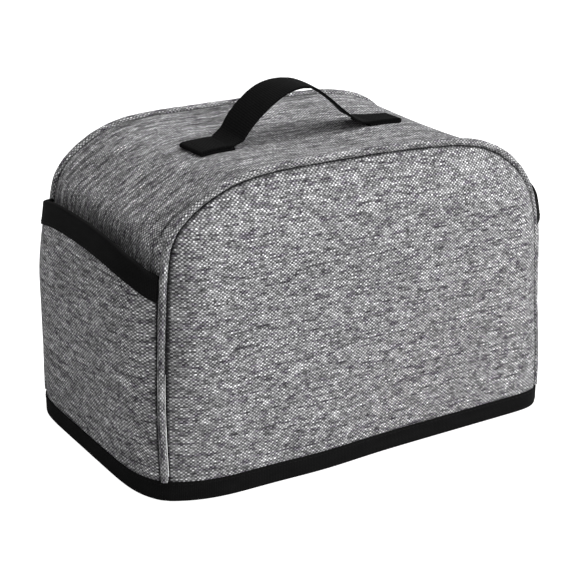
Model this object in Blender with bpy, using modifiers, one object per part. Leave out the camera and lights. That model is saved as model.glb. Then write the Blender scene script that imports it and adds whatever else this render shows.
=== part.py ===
"""Toaster cover: grey cloth body, piped seams, two end pockets, bound hem and a strap handle.

Metres, Z up. The origin is the centre of the base on the plane the hem rests on.
X runs along the cover, the shown face looks towards -Y.
"""
import math

import bmesh
import bpy
import numpy as np

# Driving dimensions
SEAM_HALF_DEPTH = 0.0783
FACE_OUT = 0.0918
HEM_WAVE = 0.0020
BAND_SWELL = 0.0088
BEHIND_POCKET = 0.0040
TOP_SAG = 0.0060
CORNER_FLARE = 0.0060
FOLD_GAP = 0.00045
BODY_CLOTH = 0.0022
POCKET_CLOTH = 0.0013
TAPE = 0.0008
GAP = 0.00032
PIPING_RADIUS = 0.0022
HEM_HEIGHT = 0.0127
HEM_FLOOR = 0.0012
POCKET_TAPE_HEIGHT = 0.0152
STRAP_WIDTH = 0.0268
STRAP_CLOTH = 0.0014

# Upright seam lines by height, for the front and back seams at each end
SIDE_ROWS = (
    {"z": 0.000, "left": -0.1378, "right": 0.1412, "left_back": -0.1418, "right_back": 0.1385},
    {"z": 0.014, "left": -0.1384, "right": 0.1412, "left_back": -0.1424, "right_back": 0.1388},
    {"z": 0.040, "left": -0.1390, "right": 0.1410, "left_back": -0.1424, "right_back": 0.1392},
    {"z": 0.066, "left": -0.1390, "right": 0.1405, "left_back": -0.1415, "right_back": 0.1392},
    {"z": 0.108, "left": -0.1372, "right": 0.1392, "left_back": -0.1382, "right_back": 0.1385},
    {"z": 0.135, "left": -0.1352, "right": 0.1368, "left_back": -0.1354, "right_back": 0.1365},
    {"z": 0.150, "left": -0.1335, "right": 0.1330, "left_back": -0.1335, "right_back": 0.1330},
)
# Rounded shoulders and top of the front seam, from the left side over to the right side
TOP_ROWS = (
    {"x": -0.1335, "z": 0.1500},
    {"x": -0.1305, "z": 0.1600},
    {"x": -0.1240, "z": 0.1690},
    {"x": -0.1140, "z": 0.1768},
    {"x": -0.1010, "z": 0.1838},
    {"x": -0.0850, "z": 0.1893},
    {"x": -0.0600, "z": 0.1925},
    {"x": -0.0200, "z": 0.1932},
    {"x": 0.0200, "z": 0.1930},
    {"x": 0.0600, "z": 0.1912},
    {"x": 0.0840, "z": 0.1880},
    {"x": 0.1000, "z": 0.1825},
    {"x": 0.1130, "z": 0.1748},
    {"x": 0.1240, "z": 0.1645},
    {"x": 0.1305, "z": 0.1545},
    {"x": 0.1330, "z": 0.1500},
)
# Middle of the strap from the left fold to the right fold, with its width tilt in degrees
STRAP_ROWS = (
    {"x": -0.0500, "y": -0.0090, "z": 0.1965, "tilt": 6.0},
    {"x": -0.0440, "y": -0.0085, "z": 0.2040, "tilt": 10.0},
    {"x": -0.0350, "y": -0.0080, "z": 0.2122, "tilt": 11.0},
    {"x": -0.0240, "y": -0.0075, "z": 0.2190, "tilt": 9.0},
    {"x": -0.0120, "y": -0.0070, "z": 0.2226, "tilt": 4.0},
    {"x": 0.0010, "y": -0.0065, "z": 0.2222, "tilt": 2.0},
    {"x": 0.0130, "y": -0.0055, "z": 0.2165, "tilt": 8.0},
    {"x": 0.0250, "y": -0.0040, "z": 0.2085, "tilt": 14.0},
    {"x": 0.0370, "y": -0.0020, "z": 0.1995, "tilt": 13.0},
    {"x": 0.0440, "y": -0.0010, "z": 0.1945, "tilt": 7.0},
)
# How far the left and right pocket faces stand from the middle, by height
POCKET_ROWS = (
    {"z": 0.000, "left": 0.1497, "right": 0.1497},
    {"z": 0.015, "left": 0.1497, "right": 0.1497},
    {"z": 0.050, "left": 0.1520, "right": 0.1525},
    {"z": 0.085, "left": 0.1539, "right": 0.1543},
    {"z": 0.105, "left": 0.1545, "right": 0.1545},
    {"z": 0.130, "left": 0.1535, "right": 0.1532},
    {"z": 0.150, "left": 0.1515, "right": 0.1512},
    {"z": 0.165, "left": 0.1500, "right": 0.1497},
)
# How square each upright corner of the ends is: a higher power is squarer
CORNER_POWER = {"left_front": 5.5, "left_back": 9.0, "right_front": 13.0, "right_back": 6.0}
# How square the faces are beside the hem's corners
HEM_POWER = {"left_front": 2.9, "left_back": 8.0, "right_front": 9.0, "right_back": 3.2}
STRAP_TIP_LEFT = -0.0785
STRAP_TIP_RIGHT = 0.0745
# The back seam against the front one, by place along the cover: how much higher it runs
BACK_ROWS = (
    {"x": -0.140, "rise": 0.0000},
    {"x": -0.120, "rise": 0.0018},
    {"x": -0.100, "rise": 0.0022},
    {"x": -0.050, "rise": 0.0008},
    {"x": 0.010, "rise": 0.0010},
    {"x": 0.055, "rise": 0.0022},
    {"x": 0.090, "rise": 0.0038},
    {"x": 0.120, "rise": 0.0072},
    {"x": 0.140, "rise": 0.0010},
)
# Height of a pocket's mouth by place across it, from the front seam (y below zero) to the back one
MOUTH_ROWS = (
    {"y": -0.0790, "z": 0.1385},
    {"y": -0.0720, "z": 0.1420},
    {"y": -0.0620, "z": 0.1480},
    {"y": -0.0450, "z": 0.1535},
    {"y": -0.0200, "z": 0.1565},
    {"y": 0.0100, "z": 0.1574},
    {"y": 0.0350, "z": 0.1568},
    {"y": 0.0550, "z": 0.1535},
    {"y": 0.0790, "z": 0.1470},
)
# Points along one upright seam, one shoulder and the top, and across the band
COUNT_SIDE = 13
COUNT_SHOULDER = 10
COUNT_TOP = 12
COUNT_ACROSS = 14

for old in list(bpy.data.objects):
    bpy.data.objects.remove(old, do_unlink=True)

body_group = bpy.data.collections.new("toaster_cover")
bpy.context.scene.collection.children.link(body_group)
cutter_group = bpy.data.collections.new("toaster_cover_cutters")
bpy.context.scene.collection.children.link(cutter_group)


def smooth(a, b, value):
    """Ease from 0 at a to 1 at b."""
    t = min(max((value - a) / (b - a), 0.0), 1.0)
    return t * t * (3.0 - 2.0 * t)


def slot(name, colour, roughness):
    """A plain cloth finish."""
    made = bpy.data.materials.new(name)
    made.use_nodes = True
    shader = made.node_tree.nodes["Principled BSDF"]
    shader.inputs["Base Color"].default_value = (*colour, 1.0)
    shader.inputs["Roughness"].default_value = roughness
    shader.inputs["Metallic"].default_value = 0.0
    made.diffuse_color = (*colour, 1.0)
    return made


GREY_CLOTH = slot("grey_cloth", (0.22, 0.22, 0.23), 0.92)
BLACK_TAPE = slot("black_tape", (0.018, 0.018, 0.019), 0.80)
BLACK_WEBBING = slot("black_webbing", (0.016, 0.016, 0.017), 0.75)


def spline(rows, keys, count):
    """Evenly spaced points on a smooth line through the rows."""
    pts = np.array([[row[k] for k in keys] for row in rows], dtype=float)
    pad = np.vstack([2 * pts[0] - pts[1], pts, 2 * pts[-1] - pts[-2]])
    fine = []
    for i in range(1, len(pad) - 2):
        p0, p1, p2, p3 = pad[i - 1], pad[i], pad[i + 1], pad[i + 2]
        for t in np.linspace(0.0, 1.0, 24, endpoint=False):
            fine.append(0.5 * (2 * p1 + (p2 - p0) * t + (2 * p0 - 5 * p1 + 4 * p2 - p3) * t * t
                               + (3 * p1 - p0 - 3 * p2 + p3) * t ** 3))
    fine.append(pad[-2])
    fine = np.array(fine)
    steps = np.linalg.norm(np.diff(fine, axis=0), axis=1)
    along = np.concatenate([[0.0], np.cumsum(steps)])
    want = np.linspace(0.0, along[-1], count)
    return np.stack([np.interp(want, along, fine[:, k]) for k in range(fine.shape[1])], axis=1)


def arch(back):
    """Seam outline in the upright plane: up the left side, over the top, down the right side."""
    tail = "_back" if back else ""
    left = spline(SIDE_ROWS, ("left" + tail, "z"), COUNT_SIDE + 1)
    right = spline(SIDE_ROWS, ("right" + tail, "z"), COUNT_SIDE + 1)[::-1]
    total = COUNT_SHOULDER * 2 + COUNT_TOP
    top = spline(TOP_ROWS, ("x", "z"), total + 1)
    line = np.vstack([left, top[1:-1], right])
    if back:
        rise = np.interp(line[:, 0], [r["x"] for r in BACK_ROWS], [r["rise"] for r in BACK_ROWS])
        line[:, 1] += rise * np.array([smooth(0.10, 0.16, z) for z in line[:, 1]])
    return line


def outward(line):
    """Unit direction out of the arch at each point."""
    along = np.gradient(line, axis=0)
    along /= np.linalg.norm(along, axis=1)[:, None]
    return np.stack([-along[:, 1], along[:, 0]], axis=1)


FRONT = arch(False)
BACK = arch(True)
FRONT_OUT = outward(FRONT)
BACK_OUT = outward(BACK)
STATIONS = len(FRONT)


def dense(line):
    """The seam outline with many more points, cut off level with the hem."""
    along = np.arange(len(line))
    want = np.linspace(0, len(line) - 1, (len(line) - 1) * 8 + 1)
    fine = np.stack([np.interp(want, along, line[:, k]) for k in range(2)], axis=1)
    fine = fine[fine[:, 1] > 0.0152]
    foot = [[np.interp(0.015, line[:9, 1], line[:9, 0]), 0.015]]
    other = [[np.interp(0.015, line[-9:, 1][::-1], line[-9:, 0][::-1]), 0.015]]
    fine = np.vstack([foot, fine, other])
    return fine, outward(fine)


DENSE_FRONT, DENSE_FRONT_OUT = dense(FRONT)
DENSE_BACK, DENSE_BACK_OUT = dense(BACK)


def seam_y(x, z, sign):
    """Distance of a seam from the middle: leaning in at the top, flared low at two corners."""
    share = smooth(0.0, 0.135, -sign * x)
    flare = CORNER_FLARE * share * (1.0 - smooth(0.015, 0.11, max(z, 0.015)))
    return SEAM_HALF_DEPTH - 0.0012 * smooth(0.10, 0.20, z) + flare


def seam_point(line, sign, index):
    x, z = line[index]
    return np.array([x, sign * seam_y(x, z, sign), z])


def add_object(name, verts, faces, material, thickness, centred=False):
    """A cloth sheet from a surface of quads, given thickness on its inner side or, centred, on both."""
    mesh = bpy.data.meshes.new(name)
    mesh.from_pydata([tuple(v) for v in verts], [], faces)
    mesh.materials.append(material)
    obj = bpy.data.objects.new(name, mesh)
    body_group.objects.link(obj)
    work = bmesh.new()
    work.from_mesh(mesh)
    bmesh.ops.remove_doubles(work, verts=work.verts, dist=0.00002)
    bmesh.ops.recalc_face_normals(work, faces=work.faces)
    work.to_mesh(mesh)
    work.free()
    solid = obj.modifiers.new("cloth thickness", "SOLIDIFY")
    solid.thickness = thickness
    solid.offset = -1.0
    solid.use_even_offset = True
    solid.use_rim = True
    if centred:
        solid.offset = 0.0
    mesh.shade_smooth()
    mesh.set_sharp_from_angle(angle=math.radians(40.0))
    return obj


def grid_faces(rows, columns, wrap=False, flip=False):
    """Quads joining a table of rows and columns of points."""
    faces = []
    last = rows if wrap else rows - 1
    for i in range(last):
        for j in range(columns - 1):
            a = i * columns + j
            b = ((i + 1) % rows) * columns + j
            face = (a, a + 1, b + 1, b)
            faces.append(face[::-1] if flip else face)
    return faces


# Plan outline of the cloth's outer face at the hem, kept as each piece is built
HEM_LINES = {}


# Front and back faces

def corner_name(x, y):
    return ("left" if x < 0 else "right") + ("_front" if y < 0 else "_back")


def face_share(x, z, sign):
    """How much of its full swell a face has reached at one point: 0 on the seam, 1 in the open."""
    line, out = (DENSE_FRONT, DENSE_FRONT_OUT) if sign < 0 else (DENSE_BACK, DENSE_BACK_OUT)
    low = max(z, 0.015)
    away = np.hypot(line[:, 0] - x, line[:, 1] - low)
    near = away.min()
    spread = 0.12 * near + 0.0003
    weight = np.exp(-(away - near) / spread)
    hem = 1.0 - smooth(0.02, 0.09, low)
    side_power = 5.5 + (HEM_POWER[corner_name(x, sign)] - 5.5) * hem
    power = side_power + (2.6 - side_power) * np.clip(out[:, 1], 0.0, 1.0)
    share = 1.0 - (1.0 - np.clip(away / 0.060, 0.0, 1.0)) ** power
    return float((share * weight).sum() / weight.sum())


def face_y(x, z, sign):
    low = max(z, 0.015)
    wave = HEM_WAVE * math.exp(-((x - sign * 0.035) / 0.032) ** 2) * (1.0 - smooth(0.015, 0.10, low))
    lean = 0.0012 * smooth(0.10, 0.20, z)
    base = seam_y(x, low, sign)
    return sign * (base + (FACE_OUT - lean + wave - base) * face_share(x, low, sign))


def edge_inset(index, line, out, sign):
    """Step in from the seam so that the face's edge sits just clear of the piping."""
    x, z = line[index]
    step = 0.0008
    while step < 0.0032:
        px = x - out[index, 0] * step
        pz = z - out[index, 1] * step
        rise = abs(face_y(px, pz, sign)) - seam_y(x, z, sign)
        if math.hypot(rise, step) > PIPING_RADIUS + 1.3 * GAP:
            break
        step += 0.0001
    return step


def face_panel(name, line, out, sign):
    """One face: a patch spanned between its base edge, two sides and the rounded top."""
    edge = []
    for i in range(STATIONS):
        step = edge_inset(i, line, out, sign)
        px, pz = line[i] - out[i] * step
        edge.append((px, pz))
    edge = np.array(edge)
    floor = HEM_FLOOR
    edge[0, 1] = floor
    edge[-1, 1] = floor
    half = COUNT_SIDE + COUNT_SHOULDER // 2 + 1
    left = edge[: half + 1].copy()
    right = edge[STATIONS - half - 1:][::-1].copy()
    left[0, 0] = left[1, 0]
    right[0, 0] = right[1, 0]
    top = edge[half: STATIONS - half]
    columns = len(top)
    rows = half + 1
    verts = []
    for i in range(rows):
        b = max(i - 1, 0) / (rows - 2)
        for j in range(columns):
            a = j / (columns - 1)
            f = 0.15 * a + 0.85 * (0.5 - 0.5 * math.cos(math.pi * a))
            spot = left[i] * (1 - f) + right[i] * f
            spot = spot + b * (top[j] - (top[0] * (1 - f) + top[-1] * f))
            x, z = spot
            verts.append((x, face_y(x, z, sign), z))
    HEM_LINES["front" if sign < 0 else "back"] = [(v[0], v[1]) for v in verts[:columns]]
    faces = grid_faces(rows, columns, flip=sign < 0)
    return add_object(name, verts, faces, GREY_CLOTH, BODY_CLOTH)


# The long band over both ends and the top, and the end pockets on it

SIDE_Z = np.linspace(0.0, 0.150, 61)


def side_table(line, side):
    """Seam place by height on one upright, from the seam outline."""
    part = line[: COUNT_SIDE + 1] if side < 0 else line[::-1][: COUNT_SIDE + 1]
    return np.interp(SIDE_Z, part[:, 1], part[:, 0])


SIDE_X = {(side, sign): side_table(FRONT if sign < 0 else BACK, side) for side in (-1, 1) for sign in (-1, 1)}


def side_x(side, z, y):
    """Where the seams of one end stand, by height, eased from the front seam to the back one."""
    low = max(z, 0.015)
    key = -1 if side < 0 else 1
    front = float(np.interp(low, SIDE_Z, SIDE_X[(key, -1)]))
    back = float(np.interp(low, SIDE_Z, SIDE_X[(key, 1)]))
    t = min(max(0.5 + 0.5 * y / SEAM_HALF_DEPTH, 0.0), 1.0)
    return front + (back - front) * t


def pocket_x(side, y, z):
    """Outer surface of a pocket."""
    low = max(z, 0.015)
    seam = side_x(side, low, y)
    key = "left" if side < 0 else "right"
    out = float(np.interp(low, [r["z"] for r in POCKET_ROWS], [r[key] for r in POCKET_ROWS]))
    reach = seam_y(seam, low, -1.0 if y < 0 else 1.0)
    power = CORNER_POWER[corner_name(side, y)]
    power -= (power - 5.5) * smooth(0.10, 0.15, low)
    share = 1.0 - min(abs(y) / reach, 1.0) ** power
    return seam + (side * out - seam) * share


def pocket_slope(side, y, z):
    step = 0.0004
    return (pocket_x(side, y + step, z) - pocket_x(side, y - step, z)) / (2.0 * step)


def band_point(index, v):
    """Outer surface of the band at one station along it, v running from front to back."""
    x = FRONT[index, 0] * (1 - v) + BACK[index, 0] * v
    z = FRONT[index, 1] * (1 - v) + BACK[index, 1] * v
    out = FRONT_OUT[index] * (1 - v) + BACK_OUT[index] * v
    low = max(z, 0.015)
    y = (2.0 * v - 1.0) * seam_y(x, low, -1.0 if v < 0.5 else 1.0)
    turn = smooth(0.10, 0.95, out[1])
    crown = 1.0 - (2.0 * v - 1.0) ** 2
    square = 1.0 - abs(2.0 * v - 1.0) ** 4
    dip = 0.0020 + (TOP_SAG - 0.0020) * math.exp(-(x / 0.058) ** 2)
    behind = smooth(0.018, 0.045, z) * (1.0 - smooth(0.140, 0.165, z))
    side_amount = (BAND_SWELL - BEHIND_POCKET * behind) * square
    if z < 0.185:
        side = -1.0 if x < 0 else 1.0
        clear = 0.00060 + 0.00160 * smooth(0.108, 0.124, z)
        lean = math.sqrt(1.0 + pocket_slope(side, y, z) ** 2)
        limit = abs(pocket_x(side, y, z)) - abs(side_x(side, z, y)) - (POCKET_CLOTH + clear) * lean
        held = min(side_amount, limit)
        side_amount = held + (side_amount - held) * smooth(0.157, 0.172, z)
    amount = side_amount * (1.0 - turn) - dip * crown * turn
    return np.array([x + out[0] * amount, y, z + out[1] * amount])


def build_band():
    trim = (PIPING_RADIUS + GAP * 1.6) / (2.0 * SEAM_HALF_DEPTH)
    verts = []
    for i in range(STATIONS):
        for j in range(COUNT_ACROSS + 1):
            s = j / COUNT_ACROSS
            s = 0.5 - 0.5 * math.cos(math.pi * s) * (1.0 - 0.35 * math.sin(math.pi * s) ** 2)
            v = trim + (1.0 - 2.0 * trim) * s
            spot = band_point(i, v)
            if i in (0, STATIONS - 1):
                spot[2] = HEM_FLOOR
            verts.append(spot)
    faces = grid_faces(STATIONS, COUNT_ACROSS + 1)
    return add_object("gusset", verts, faces, GREY_CLOTH, BODY_CLOTH)


MOUTH_LINE = spline(MOUTH_ROWS, ("y", "z"), 60)


def pocket_top(y):
    """Height of a pocket's mouth, drooping towards both seams."""
    return float(np.interp(y, MOUTH_LINE[:, 0], MOUTH_LINE[:, 1]))


def pocket_edge(side, sign, z):
    """Where a pocket's side edge sits so that it stays just clear of the piping."""
    seam = side_x(side, z, sign * SEAM_HALF_DEPTH)
    reach = seam_y(seam, max(z, 0.015), sign)
    step = 0.0010
    while step < 0.0030:
        y = sign * (reach - step)
        if math.hypot(pocket_x(side, y, z) - seam, step) > PIPING_RADIUS + 1.5 * GAP:
            break
        step += 0.0001
    return sign * (reach - step)


POCKET_COLUMNS = 16


def pocket_spots(side, z):
    """Places across a pocket, closer together near its side edges."""
    front = pocket_edge(side, -1.0, z)
    back = pocket_edge(side, 1.0, z)
    spots = []
    for j in range(POCKET_COLUMNS + 1):
        t = j / POCKET_COLUMNS
        f = 0.2 * t + 0.8 * (0.5 - 0.5 * math.cos(math.pi * t))
        spots.append(front + (back - front) * f)
    return spots


def build_pocket(side, name):
    verts = []
    rows = 10
    floor_spots = pocket_spots(side, 0.015)
    mouth_spots = pocket_spots(side, 0.150)
    for i in range(rows + 3):
        t = min(max(i - 1, 0) / rows, 1.0)
        spots = mouth_spots if t == 1.0 else pocket_spots(side, 0.015 + 0.126 * t)
        for y in spots:
            z = 0.0150 + (pocket_top(y) - POCKET_TAPE_HEIGHT - 0.0150) * t
            if i == 0:
                z = HEM_FLOOR
            if i == rows + 2:
                z = pocket_top(y) - TAPE - FOLD_GAP
            verts.append((pocket_x(side, y, z), y, z))
    HEM_LINES["pocket_left" if side < 0 else "pocket_right"] = [
        (pocket_x(side, y, 0.015), y) for y in floor_spots]
    faces = grid_faces(rows + 3, len(floor_spots), flip=side < 0)
    return add_object(name, verts, faces, GREY_CLOTH, POCKET_CLOTH)


def fold_profile(cloth, height):
    """Tape folded over an edge: steps outwards from the cloth's outer face, and heights."""
    out = FOLD_GAP + TAPE / 2.0
    inner = -(cloth + FOLD_GAP + TAPE / 2.0)
    soft = 0.0006
    return (
        (out, height),
        (out, TAPE / 2.0 + soft),
        (out - soft, TAPE / 2.0),
        (inner + soft, TAPE / 2.0),
        (inner, TAPE / 2.0 + soft),
        (inner, height),
    )


def build_pocket_tape(side, name):
    """Tape over the mouth of a pocket, folded down on both sides of its edge."""
    spots = pocket_spots(side, 0.150)
    verts = []
    profile = fold_profile(POCKET_CLOTH, POCKET_TAPE_HEIGHT)
    for y in spots:
        top = pocket_top(y)
        for out, down in profile:
            z = top - down
            slope = pocket_slope(side, y, z)
            size = math.sqrt(1.0 + slope * slope)
            x = pocket_x(side, y, z) + side * out / size
            verts.append((x, y - side * slope * out / size, z))
    faces = grid_faces(len(spots), len(profile))
    return add_object(name, verts, faces, BLACK_TAPE, TAPE, centred=True)


# The hem: tape folded over the bottom edge all the way round

def hem_ring():
    """Plan outline of the cloth's outer face at the hem, with the cloth thickness there."""
    front = [(x, y, BODY_CLOTH) for x, y in HEM_LINES["front"]]
    back = [(x, y, BODY_CLOTH) for x, y in HEM_LINES["back"][::-1]]
    right = [(x, y, end_stack(1.0, x, y)) for x, y in HEM_LINES["pocket_right"]]
    left = [(x, y, end_stack(-1.0, x, y)) for x, y in HEM_LINES["pocket_left"][::-1]]
    return np.array(front + right + back + left)


def end_stack(side, x, y):
    """Thickness of pocket, space and band together at the hem, square to the cloth."""
    index = 0 if side < 0 else STATIONS - 1
    reach = seam_y(FRONT[index, 0], 0.015, -1.0 if y < 0 else 1.0)
    v = 0.5 + 0.5 * y / reach
    lean = math.sqrt(1.0 + pocket_slope(side, y, 0.015) ** 2)
    band = band_point(index, min(max(v, 0.0), 1.0))[0]
    near_seam = smooth(0.86, 0.95, abs(y) / reach)
    return abs(x - band) / lean + BODY_CLOTH + 0.0003 + 0.0012 * near_seam


def flatten_foot(obj):
    """Keep the thickened tape, with its underside pressed to the plane it rests on."""
    graph = bpy.context.evaluated_depsgraph_get()
    solid = bpy.data.meshes.new_from_object(obj.evaluated_get(graph))
    for vert in solid.vertices:
        if vert.co.z < 0.0003:
            vert.co.z = 0.0
    obj.modifiers.clear()
    obj.data = solid


def build_hem():
    ring = hem_ring()
    count = len(ring)
    plan = ring[:, :2]
    width = ring[:, 2].copy()
    for _ in range(3):
        width = (np.roll(width, 1) + 2 * width + np.roll(width, -1)) / 4
    width = np.maximum(width, ring[:, 2])
    ahead = np.roll(plan, -1, axis=0) - np.roll(plan, 1, axis=0)
    ahead /= np.linalg.norm(ahead, axis=1)[:, None]
    normal = np.stack([ahead[:, 1], -ahead[:, 0]], axis=1)
    for _ in range(2):
        normal = np.roll(normal, 1, axis=0) + 2 * normal + np.roll(normal, -1, axis=0)
        normal /= np.linalg.norm(normal, axis=1)[:, None]
    verts = []
    for i in range(count):
        for out, height in fold_profile(float(width[i]), HEM_HEIGHT):
            verts.append((plan[i, 0] + normal[i, 0] * out, plan[i, 1] + normal[i, 1] * out, height))
    faces = grid_faces(count, 6, wrap=True)
    obj = add_object("hem_binding", verts, faces, BLACK_TAPE, TAPE, centred=True)
    flatten_foot(obj)
    return obj


# Piping in the two long seams

def build_piping(name, line, sign):
    curve = bpy.data.curves.new(name, "CURVE")
    curve.dimensions = "3D"
    curve.bevel_depth = PIPING_RADIUS
    curve.bevel_resolution = 2
    curve.use_fill_caps = True
    points = [seam_point(line, sign, i) for i in range(STATIONS)]
    low = HEM_HEIGHT + 0.0004
    kept = [p for p in points if p[2] > low + 0.003]
    foot_left = np.array([side_x(-1, low, sign), sign * seam_y(-0.14, low, sign), low])
    foot_right = np.array([side_x(1, low, sign), sign * seam_y(0.14, low, sign), low])
    kept = [foot_left] + kept + [foot_right]
    poly = curve.splines.new("POLY")
    poly.points.add(len(kept) - 1)
    for i, p in enumerate(kept):
        poly.points[i].co = (p[0], p[1], p[2], 1.0)
    obj = bpy.data.objects.new(name, curve)
    body_group.objects.link(obj)
    curve.materials.append(GREY_CLOTH)
    return obj


# The strap handle: one webbing strap, both ends folded under and sewn down flat

def top_surface(x, y):
    """Height of the band's outer face under a point near the top."""
    v = 0.5 + 0.5 * y / (SEAM_HALF_DEPTH - 0.0012)
    row = np.array([band_point(i, v) for i in range(COUNT_SIDE, STATIONS - COUNT_SIDE)])
    return float(np.interp(x, row[:, 0], row[:, 2]))


def build_strap():
    pitch = STRAP_CLOTH + GAP
    rest = 2.0 * GAP + STRAP_CLOTH / 2.0
    rows = []
    left_tab = ((-0.0560, rest), (-0.0665, rest), (STRAP_TIP_LEFT, rest), ("turn", STRAP_TIP_LEFT),
                (STRAP_TIP_LEFT, rest + pitch), (-0.0665, rest + pitch), (-0.0575, rest + pitch + 0.0003))
    right_tab = ((0.0500, rest + pitch + 0.0003), (0.0620, rest + pitch), (STRAP_TIP_RIGHT, rest + pitch),
                 ("turn", STRAP_TIP_RIGHT), (STRAP_TIP_RIGHT, rest), (0.0620, rest), (0.0510, rest))

    def tab(entries, y_mid, outwards):
        made = []
        for first, second in entries:
            if first == "turn":
                x = second + outwards * pitch * 0.5
                made.append(("tab", x, y_mid, rest + pitch / 2.0, 0.0))
            else:
                made.append(("tab", first, y_mid, second, 0.0))
        return made

    rows += tab(left_tab, -0.0100, -1.0)
    curve = spline(STRAP_ROWS, ("x", "y", "z", "tilt"), 20)
    for x, y, z, tilt in curve:
        rows.append(("air", x, y, z, tilt))
    rows += tab(right_tab, 0.0005, 1.0)
    verts = []
    across = 4
    for kind, x, y, z, tilt in rows:
        for j in range(across + 1):
            w = (j / across - 0.5) * STRAP_WIDTH
            if kind == "tab":
                verts.append((x, y + w, top_surface(x, y + w) + z))
            else:
                angle = math.radians(tilt)
                verts.append((x, y + w * math.cos(angle), z + w * math.sin(angle)))
    faces = grid_faces(len(rows), across + 1)
    return add_object("handle", verts, faces, BLACK_WEBBING, STRAP_CLOTH, centred=True)


front_panel = face_panel("front_panel", FRONT, FRONT_OUT, -1.0)
back_panel = face_panel("back_panel", BACK, BACK_OUT, 1.0)
gusset = build_band()
pocket_left = build_pocket(-1, "pocket_left")
pocket_right = build_pocket(1, "pocket_right")
tape_left = build_pocket_tape(-1, "pocket_binding_left")
tape_right = build_pocket_tape(1, "pocket_binding_right")
hem_binding = build_hem()
piping_front = build_piping("piping_front", FRONT, -1.0)
piping_back = build_piping("piping_back", BACK, 1.0)
handle = build_strap()
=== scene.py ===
# %% [markdown]
# # Sewing a toaster cover in Blender
# The real cover is cut from padded grey melange cloth: a front face, a back face, and one long band that runs
# up the left end, over the top and down the right end. Self-cloth piping is caught in the two long seams.
# A pocket sits on each end, its mouth bound in black tape. Wider black tape binds the hem all the way round,
# and a black webbing strap is sewn down flat on top as a handle.
# Every cell builds one of those pieces in the order a sewer would.

# %% Open the measured frame
import math
import random

import bmesh
import bpy
import numpy as np
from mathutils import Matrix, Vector


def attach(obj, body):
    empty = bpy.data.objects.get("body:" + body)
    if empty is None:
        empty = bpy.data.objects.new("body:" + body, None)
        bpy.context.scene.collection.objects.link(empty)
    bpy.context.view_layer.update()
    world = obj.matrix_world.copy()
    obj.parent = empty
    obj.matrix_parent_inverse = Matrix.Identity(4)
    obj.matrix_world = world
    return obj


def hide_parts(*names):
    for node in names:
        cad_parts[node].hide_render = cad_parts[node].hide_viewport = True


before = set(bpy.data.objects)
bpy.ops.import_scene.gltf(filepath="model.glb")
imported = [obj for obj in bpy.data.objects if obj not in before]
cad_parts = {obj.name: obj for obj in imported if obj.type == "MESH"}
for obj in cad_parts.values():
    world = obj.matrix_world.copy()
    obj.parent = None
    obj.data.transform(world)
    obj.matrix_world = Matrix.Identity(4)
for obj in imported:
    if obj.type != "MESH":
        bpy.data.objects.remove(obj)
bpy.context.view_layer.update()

bpy.ops.object.select_all(action="DESELECT")
print("frame pieces:", ", ".join(sorted(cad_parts)))

# %% [markdown]
# ## Measurements
# All lengths are metres. The seams are described by short tables, one row per height or place, because a sewn
# cover is never quite symmetrical: its shoulders slope differently and two hem corners stand out further.

# %% Write down the measurements
SEAM_HALF_DEPTH = 0.0783
FACE_OUT = 0.0918
HEM_WAVE = 0.0020
BAND_SWELL = 0.0088
BEHIND_POCKET = 0.0040
TOP_SAG = 0.0060
CORNER_FLARE = 0.0060
BODY_CLOTH = 0.0022
POCKET_CLOTH = 0.0013
TAPE = 0.0008
PIPING_RADIUS = 0.0023
HEM_HEIGHT = 0.0129
HEM_FLOOR = 0.0012
POCKET_TAPE_HEIGHT = 0.0152
STRAP_WIDTH = 0.0268
STRAP_CLOTH = 0.0015
FOLD_GAP = 0.0003

# Upright seam lines by height, for the front and back seams at each end
SIDE_ROWS = (
    {"z": 0.000, "left": -0.1378, "right": 0.1412, "left_back": -0.1418, "right_back": 0.1385},
    {"z": 0.014, "left": -0.1384, "right": 0.1412, "left_back": -0.1424, "right_back": 0.1388},
    {"z": 0.040, "left": -0.1390, "right": 0.1410, "left_back": -0.1424, "right_back": 0.1392},
    {"z": 0.066, "left": -0.1390, "right": 0.1405, "left_back": -0.1415, "right_back": 0.1392},
    {"z": 0.108, "left": -0.1372, "right": 0.1392, "left_back": -0.1382, "right_back": 0.1385},
    {"z": 0.135, "left": -0.1352, "right": 0.1368, "left_back": -0.1354, "right_back": 0.1365},
    {"z": 0.150, "left": -0.1335, "right": 0.1330, "left_back": -0.1335, "right_back": 0.1330},
)
# Rounded shoulders and top of the front seam, from the left side over to the right side
TOP_ROWS = (
    {"x": -0.1335, "z": 0.1500},
    {"x": -0.1305, "z": 0.1600},
    {"x": -0.1240, "z": 0.1690},
    {"x": -0.1140, "z": 0.1768},
    {"x": -0.1010, "z": 0.1838},
    {"x": -0.0850, "z": 0.1893},
    {"x": -0.0600, "z": 0.1925},
    {"x": -0.0200, "z": 0.1932},
    {"x": 0.0200, "z": 0.1930},
    {"x": 0.0600, "z": 0.1912},
    {"x": 0.0840, "z": 0.1880},
    {"x": 0.1000, "z": 0.1825},
    {"x": 0.1130, "z": 0.1748},
    {"x": 0.1240, "z": 0.1645},
    {"x": 0.1305, "z": 0.1545},
    {"x": 0.1330, "z": 0.1500},
)
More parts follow.
